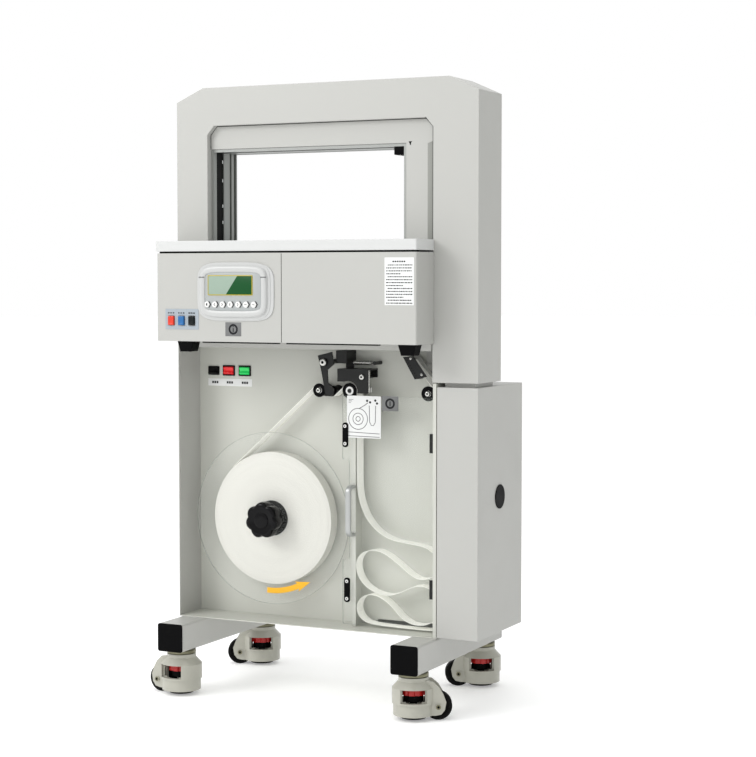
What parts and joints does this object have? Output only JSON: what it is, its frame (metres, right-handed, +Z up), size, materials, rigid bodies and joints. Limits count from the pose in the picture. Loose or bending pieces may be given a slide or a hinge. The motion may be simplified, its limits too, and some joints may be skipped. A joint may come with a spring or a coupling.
{
  "type": "arch banding machine",
  "caption": "Free-standing arch banding machine on levelling casters, with table, control box, tape reel, roller feed and a clear-doored slack magazine.",
  "frame": {"origin": "on the floor, under the middle of the overall box with the casters as stored", "axes": "+Z up, +Y to the back, +X to the operator's right"},
  "size_m": [0.751, 0.448, 1.298],
  "materials": {
    "frame_paint": "satin light grey powder coat",
    "table_white": "satin white laminate",
    "black_plastic": "fine moulded black",
    "caster_paint": "cast, off-white paint",
    "caster_rubber": "matt",
    "zinc": "yellow-green zinc plate",
    "thumb_red": "moulded",
    "clear_acrylic": "clear",
    "tape_paper": "matt coated tape",
    "rail_aluminium": "satin anodised",
    "dark_steel": "dark grey paint",
    "bright_steel": "turned",
    "panel_silver": "silver paint",
    "handle_metal": "satin anodised",
    "motor_grey": "painted casting",
    "button_red": "moulded",
    "button_blue": "moulded",
    "button_black": "moulded",
    "rocker_red": "lit rocker",
    "rocker_green": "lit rocker"
  },
  "bodies": {
    "frame": {"base_beams": "frame_paint", "black_plugs": "black_plastic", "caster_races": "zinc", "floor_tray": "frame_paint", "left_side_wall": "frame_paint", "reel_panel": "frame_paint", "rear_cover": "frame_paint", "right_column": "frame_paint", "arch_shell": "frame_paint", "arch_back_cover": "frame_paint", "arch_lining": "frame_paint", "guide_track": "rail_aluminium", "table_top": "table_white", "control_box": "frame_paint", "box_bumpers": "black_plastic", "operator_panel": "panel_silver", "sealing_head": "bright_steel", "gear_motors": "motor_grey", "magazine_walls": "frame_paint", "door_hinge_posts": "dark_steel", "reel_spindle": "bright_steel", "feed_bracket": "dark_steel", "tension_spring": "bright_steel", "tape_chute": "dark_steel", "tape_web": "tape_paper"},
    "caster_fl": {"caster_housing_fl": "caster_paint"},
    "wheel_fl": {"caster_wheel_fl": "caster_rubber"},
    "thumbwheel_fl": {"caster_thumbwheel_fl": "thumb_red"},
    "pad_fl": {"caster_pad_fl": "caster_rubber"},
    "caster_fr": {"caster_housing_fr": "caster_paint"},
    "wheel_fr": {"caster_wheel_fr": "caster_rubber"},
    "thumbwheel_fr": {"caster_thumbwheel_fr": "thumb_red"},
    "pad_fr": {"caster_pad_fr": "caster_rubber"},
    "caster_rl": {"caster_housing_rl": "caster_paint"},
    "wheel_rl": {"caster_wheel_rl": "caster_rubber"},
    "thumbwheel_rl": {"caster_thumbwheel_rl": "thumb_red"},
    "pad_rl": {"caster_pad_rl": "caster_rubber"},
    "caster_rr": {"caster_housing_rr": "caster_paint"},
    "wheel_rr": {"caster_wheel_rr": "caster_rubber"},
    "thumbwheel_rr": {"caster_thumbwheel_rr": "thumb_red"},
    "pad_rr": {"caster_pad_rr": "caster_rubber"},
    "door": {"magazine_door": "clear_acrylic", "door_handle": "handle_metal", "door_hinge_leaves": "dark_steel"},
    "reel": {"tape_roll": "tape_paper", "reel_disc": "clear_acrylic", "reel_hub": "black_plastic"},
    "knob": {"reel_knob": "black_plastic"},
    "guide": {"guide_roller": "black_plastic"},
    "feed": {"feed_roller": "black_plastic"},
    "exit": {"exit_roller": "black_plastic"},
    "dancer": {"dancer_arm": "dark_steel"},
    "dancer_wheel": {"dancer_roller": "black_plastic"},
    "cams": {"cam_shaft": "bright_steel"},
    "push_red": {"button_red": "button_red"},
    "push_blue": {"button_blue": "button_blue"},
    "push_black": {"button_black": "button_black"},
    "switch_black": {"rocker_black": "button_black"},
    "switch_red": {"rocker_red": "rocker_red"},
    "switch_green": {"rocker_green": "rocker_green"}
  },
  "joints": [
    {"name": "swivel_fl", "type": "hinge", "parent": "frame", "child": "caster_fl", "pos_m": [-0.29649, -0.177, 0.088], "axis": [0, 0, 1], "continuous": true},
    {"name": "roll_fl", "type": "hinge", "parent": "caster_fl", "child": "wheel_fl", "pos_m": [-0.346, -0.17004, 0.0285], "axis": [-0.1392, -0.9903, 0], "continuous": true},
    {"name": "thumb_turn_fl", "type": "hinge", "parent": "caster_fl", "child": "thumbwheel_fl", "pos_m": [-0.29649, -0.177, 0.056], "axis": [0, 0, 1], "range_deg": [0, 1800]},
    {"name": "pad_drop_fl", "type": "slide", "parent": "caster_fl", "child": "pad_fl", "axis": [0, 0, -1], "range_m": [0, 0.01]},
    {"name": "swivel_fr", "type": "hinge", "parent": "frame", "child": "caster_fr", "pos_m": [0.25351, -0.177, 0.088], "axis": [0, 0, 1], "continuous": true},
    {"name": "roll_fr", "type": "hinge", "parent": "caster_fr", "child": "wheel_fr", "pos_m": [0.29853, -0.15524, 0.0285], "axis": [-0.4352, 0.9003, 0], "continuous": true},
    {"name": "thumb_turn_fr", "type": "hinge", "parent": "caster_fr", "child": "thumbwheel_fr", "pos_m": [0.25351, -0.177, 0.056], "axis": [0, 0, 1], "range_deg": [0, 1800]},
    {"name": "pad_drop_fr", "type": "slide", "parent": "caster_fr", "child": "pad_fr", "axis": [0, 0, -1], "range_m": [0, 0.01]},
    {"name": "swivel_rl", "type": "hinge", "parent": "frame", "child": "caster_rl", "pos_m": [-0.29649, 0.177, 0.088], "axis": [0, 0, 1], "continuous": true},
    {"name": "roll_rl", "type": "hinge", "parent": "caster_rl", "child": "wheel_rl", "pos_m": [-0.34151, 0.15524, 0.0285], "axis": [0.4352, -0.9003, 0], "continuous": true},
    {"name": "thumb_turn_rl", "type": "hinge", "parent": "caster_rl", "child": "thumbwheel_rl", "pos_m": [-0.29649, 0.177, 0.056], "axis": [0, 0, 1], "range_deg": [0, 1800]},
    {"name": "pad_drop_rl", "type": "slide", "parent": "caster_rl", "child": "pad_rl", "axis": [0, 0, -1], "range_m": [0, 0.01]},
    {"name": "swivel_rr", "type": "hinge", "parent": "frame", "child": "caster_rr", "pos_m": [0.25351, 0.177, 0.088], "axis": [0, 0, 1], "continuous": true},
    {"name": "roll_rr", "type": "hinge", "parent": "caster_rr", "child": "wheel_rr", "pos_m": [0.20849, 0.15524, 0.0285], "axis": [0.4352, -0.9003, 0], "continuous": true},
    {"name": "thumb_turn_rr", "type": "hinge", "parent": "caster_rr", "child": "thumbwheel_rr", "pos_m": [0.25351, 0.177, 0.056], "axis": [0, 0, 1], "range_deg": [0, 1800]},
    {"name": "pad_drop_rr", "type": "slide", "parent": "caster_rr", "child": "pad_rr", "axis": [0, 0, -1], "range_m": [0, 0.01]},
    {"name": "door_swing", "type": "hinge", "parent": "frame", "child": "door", "pos_m": [0.27101, -0.0912, 0.4], "axis": [0, 0, 1], "range_deg": [0, 92]},
    {"name": "reel_spin", "type": "hinge", "parent": "frame", "child": "reel", "pos_m": [-0.12549, -0.067, 0.3773], "axis": [0, 1, 0], "continuous": true},
    {"name": "knob_turn", "type": "hinge", "parent": "reel", "child": "knob", "pos_m": [-0.12549, -0.11, 0.3773], "axis": [0, -1, 0], "range_deg": [0, 720]},
    {"name": "guide_spin", "type": "hinge", "parent": "frame", "child": "guide", "pos_m": [-0.00949, -0.067, 0.656], "axis": [0, 1, 0], "continuous": true},
    {"name": "feed_spin", "type": "hinge", "parent": "frame", "child": "feed", "pos_m": [0.06251, -0.067, 0.6565], "axis": [0, 1, 0], "continuous": true},
    {"name": "exit_spin", "type": "hinge", "parent": "frame", "child": "exit", "pos_m": [0.24351, -0.067, 0.655], "axis": [0, 1, 0], "continuous": true},
    {"name": "dancer_swing", "type": "hinge", "parent": "frame", "child": "dancer", "pos_m": [0.00751, -0.0925, 0.716], "axis": [0, 1, 0], "range_deg": [-14, 2], "stiffness_Nm_per_rad": 0.4, "deforming": ["tape_web"]},
    {"name": "dancer_spin", "type": "hinge", "parent": "dancer", "child": "dancer_wheel", "pos_m": [0.01951, -0.067, 0.655], "axis": [0, 1, 0], "continuous": true},
    {"name": "cam_turn", "type": "hinge", "parent": "frame", "child": "cams", "pos_m": [0.02151, -0.08, 0.835], "axis": [1, 0, 0], "continuous": true},
    {"name": "press_red", "type": "slide", "parent": "frame", "child": "push_red", "axis": [0, 1, 0], "range_m": [0, 0.0025], "stiffness_N_per_m": 300},
    {"name": "press_blue", "type": "slide", "parent": "frame", "child": "push_blue", "axis": [0, 1, 0], "range_m": [0, 0.0025], "stiffness_N_per_m": 300},
    {"name": "press_black", "type": "slide", "parent": "frame", "child": "push_black", "axis": [0, 1, 0], "range_m": [0, 0.0025], "stiffness_N_per_m": 300},
    {"name": "tilt_black", "type": "hinge", "parent": "frame", "child": "switch_black", "pos_m": [-0.29279, -0.04, 0.69], "axis": [1, 0, 0], "range_deg": [0, 14]},
    {"name": "tilt_red", "type": "hinge", "parent": "frame", "child": "switch_red", "pos_m": [-0.25479, -0.04, 0.6907], "axis": [1, 0, 0], "range_deg": [0, 14]},
    {"name": "tilt_green", "type": "hinge", "parent": "frame", "child": "switch_green", "pos_m": [-0.21479, -0.04, 0.6907], "axis": [1, 0, 0], "range_deg": [0, 14]}
  ],
  "couplings": [
    {"joint": "pad_drop_fl", "follows": "thumb_turn_fl", "m_per_rad": 0.00031831},
    {"joint": "pad_drop_fr", "follows": "thumb_turn_fr", "m_per_rad": 0.00031831},
    {"joint": "pad_drop_rl", "follows": "thumb_turn_rl", "m_per_rad": 0.00031831},
    {"joint": "pad_drop_rr", "follows": "thumb_turn_rr", "m_per_rad": 0.00031831}
  ]
}
